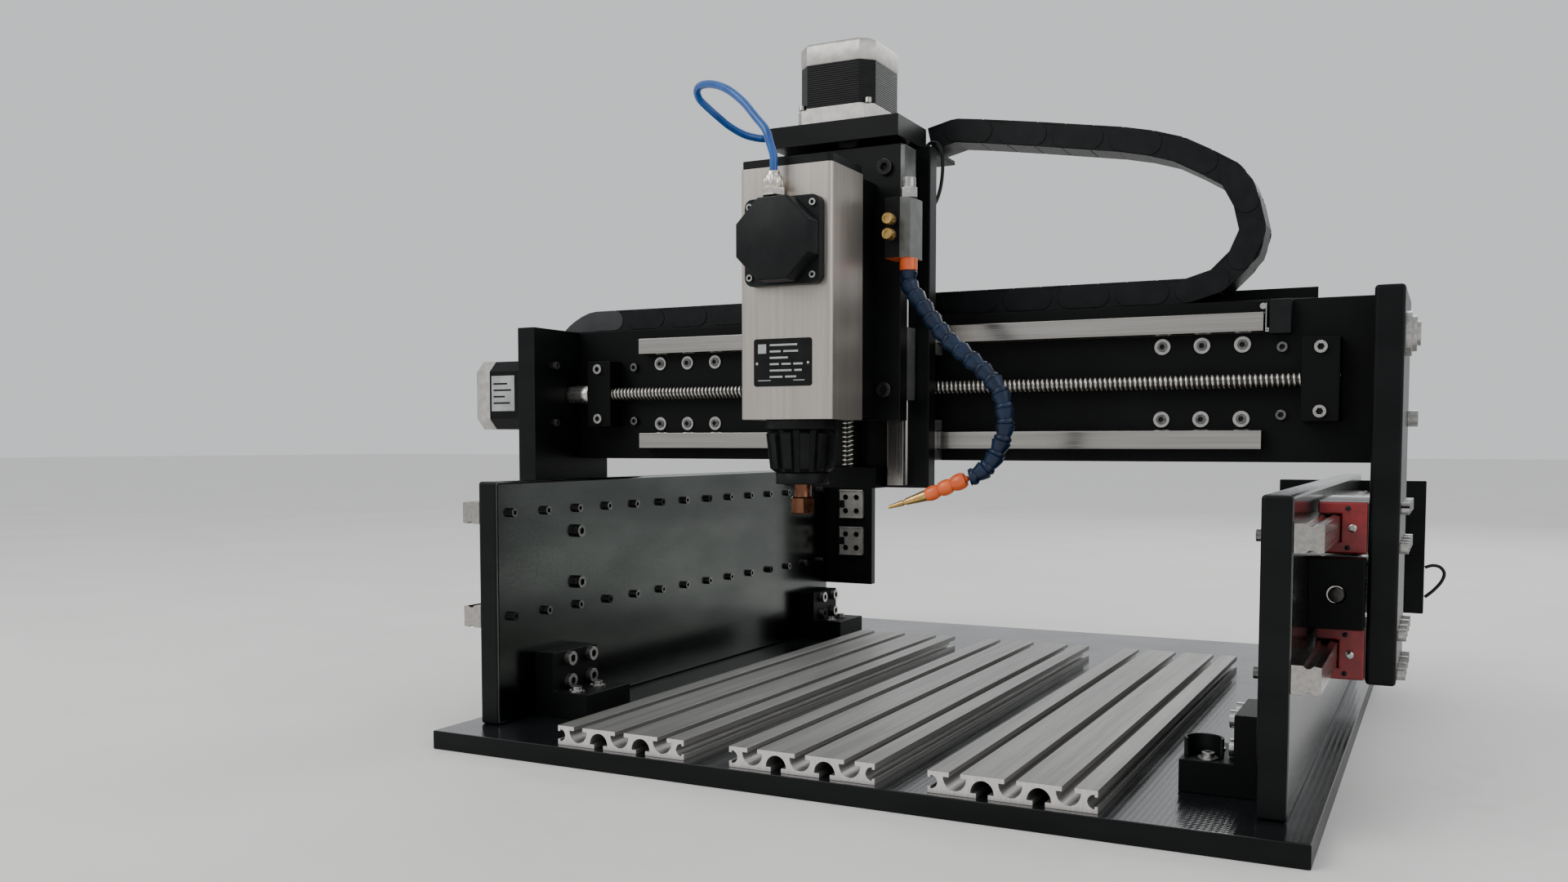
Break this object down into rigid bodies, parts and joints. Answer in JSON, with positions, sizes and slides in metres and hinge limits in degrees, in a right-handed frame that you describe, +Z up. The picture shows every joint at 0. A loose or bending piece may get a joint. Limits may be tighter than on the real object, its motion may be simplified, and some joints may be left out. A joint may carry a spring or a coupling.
{
  "type": "cnc router",
  "caption": "Bench-top moving-gantry router with T-slot table, square spindle, ball-screw axes on profiled rails, drag chain and coolant nozzle.",
  "frame": {"origin": "centre of the base plate's underside", "axes": "+Z up, -Y front, +X right when facing the machine from its front"},
  "size_m": [1.0977, 1.04, 0.742],
  "materials": {
    "black_anodised": "satin black anodised",
    "carbon_base": "black, lightly textured",
    "raw_aluminium": "extruded, matt",
    "black_steel": "black oxide",
    "ground_steel": "ground",
    "bright_steel": "zinc plated",
    "red_plastic": "moulded",
    "motor_black": "painted laminations between bright end caps",
    "nickel_socket": "bright",
    "black_plastic": "moulded",
    "cable_black": "matt jacket",
    "white_plastic": "moulded",
    "brushed_housing": "brushed",
    "copper_core": "wound laminations",
    "blue_tube": "smooth tube",
    "valve_metal": "anodised block",
    "brass": "turned",
    "hose_blue": "moulded segments",
    "nozzle_orange": "moulded",
    "bronze": "oxide coated"
  },
  "bodies": {
    "base": {"base_plate": "carbon_base", "table_slots": "raw_aluminium", "side_plate_left": "black_anodised", "side_plate_right": "black_anodised", "base_bolts": "black_steel", "corner_brackets": "black_anodised", "y_rails": "ground_steel", "y_bearings": "black_anodised", "rear_plates": "black_anodised", "y_motors": "motor_black", "power_sockets": "nickel_socket", "cable_ring": "black_plastic", "rear_cable": "cable_black"},
    "y_screw_left": {"y_screw_left": "ground_steel"},
    "y_screw_right": {"y_screw_right": "ground_steel"},
    "gantry": {"upright_left": "black_anodised", "upright_right": "black_anodised", "beam": "black_anodised", "x_rails": "ground_steel", "y_carriages": "bright_steel", "y_carriage_caps": "red_plastic", "y_nuts": "ground_steel", "gantry_bolts": "bright_steel", "x_bearings": "black_anodised", "x_motor": "motor_black", "x_motor_plug": "white_plastic", "x_motor_cable": "cable_black", "chain_tray": "black_anodised", "x_limit_switch": "black_plastic", "cable_chain": "black_plastic"},
    "limit_lever": {"limit_lever": "bright_steel"},
    "x_screw": {"x_screw": "ground_steel"},
    "cross_carriage": {"x_plate": "black_anodised", "x_carriages": "bright_steel", "x_nut": "ground_steel", "z_rails": "ground_steel", "z_bearings": "black_anodised", "top_plate": "black_anodised", "chain_arm": "black_anodised", "z_motor": "motor_black", "z_switch_cable": "cable_black"},
    "z_screw": {"z_screw": "ground_steel"},
    "head": {"z_plate": "black_anodised", "z_carriages": "bright_steel", "z_nut": "ground_steel", "z_bolts": "bright_steel", "spindle_mount": "black_anodised", "spindle_housing": "brushed_housing", "spindle_core": "copper_core", "spindle_nose": "black_plastic", "terminal_box": "black_plastic", "cable_gland": "bright_steel", "air_hose": "blue_tube", "mist_block": "valve_metal"},
    "spindle_rotor": {"spindle_shaft": "ground_steel", "collet_nut": "bronze"},
    "knob_upper": {"knob_upper": "brass"},
    "knob_lower": {"knob_lower": "brass"},
    "coolant_hose": {"coolant_hose": "hose_blue"},
    "hose_nozzle": {"hose_nozzle": "nozzle_orange"}
  },
  "joints": [
    {"name": "y_slide", "type": "slide", "parent": "base", "child": "gantry", "axis": [0, 1, 0], "range_m": [0, 0.47]},
    {"name": "x_slide", "type": "slide", "parent": "gantry", "child": "cross_carriage", "axis": [1, 0, 0], "range_m": [-0.205, 0.225], "deforming": ["cable_chain"]},
    {"name": "z_slide", "type": "slide", "parent": "cross_carriage", "child": "head", "axis": [0, 0, 1], "range_m": [-0.085, 0.004], "deforming": ["air_hose"]},
    {"name": "spindle_spin", "type": "hinge", "parent": "head", "child": "spindle_rotor", "pos_m": [-0.057, -0.398, 0.3495], "axis": [0, 0, 1], "continuous": true},
    {"name": "y_screw_left_spin", "type": "hinge", "parent": "base", "child": "y_screw_left", "pos_m": [-0.437, 0, 0.19375], "axis": [0, 1, 0], "range_deg": [-20, 33860]},
    {"name": "y_screw_right_spin", "type": "hinge", "parent": "base", "child": "y_screw_right", "pos_m": [0.437, 0, 0.19375], "axis": [0, 1, 0], "range_deg": [-20, 33860]},
    {"name": "x_screw_spin", "type": "hinge", "parent": "gantry", "child": "x_screw", "pos_m": [0, -0.2355, 0.3865], "axis": [1, 0, 0], "range_deg": [-14780, 16220]},
    {"name": "z_screw_spin", "type": "hinge", "parent": "cross_carriage", "child": "z_screw", "pos_m": [-0.057, -0.2855, 0.5], "axis": [0, 0, 1], "range_deg": [-6140, 308]},
    {"name": "knob_upper_turn", "type": "hinge", "parent": "head", "child": "knob_upper", "pos_m": [0.0215, -0.3515, 0.548], "axis": [0, -1, 0], "range_deg": [-360, 360]},
    {"name": "knob_lower_turn", "type": "hinge", "parent": "head", "child": "knob_lower", "pos_m": [0.0215, -0.3515, 0.533], "axis": [0, -1, 0], "range_deg": [-360, 360]},
    {"name": "hose_swivel", "type": "hinge", "parent": "head", "child": "coolant_hose", "pos_m": [0.033, -0.34, 0.4995], "axis": [0, 0, 1], "range_deg": [-25, 25]},
    {"name": "nozzle_pivot", "type": "hinge", "parent": "coolant_hose", "child": "hose_nozzle", "pos_m": [0.11036, -0.38206, 0.29194], "axis": [0, 1, 0], "range_deg": [-20, 20]},
    {"name": "limit_lever_press", "type": "hinge", "parent": "gantry", "child": "limit_lever", "pos_m": [0.362, -0.2315, 0.4355], "axis": [0, 1, 0], "range_deg": [0, 4.5], "stiffness_Nm_per_rad": 0.03, "springref_deg": -2.86}
  ],
  "couplings": [
    {"joint": "y_screw_left_spin", "follows": "y_slide", "rad_per_m": 1256.6},
    {"joint": "y_screw_right_spin", "follows": "y_slide", "rad_per_m": 1256.6},
    {"joint": "x_screw_spin", "follows": "x_slide", "rad_per_m": 1256.6},
    {"joint": "z_screw_spin", "follows": "z_slide", "rad_per_m": 1256.6}
  ]
}
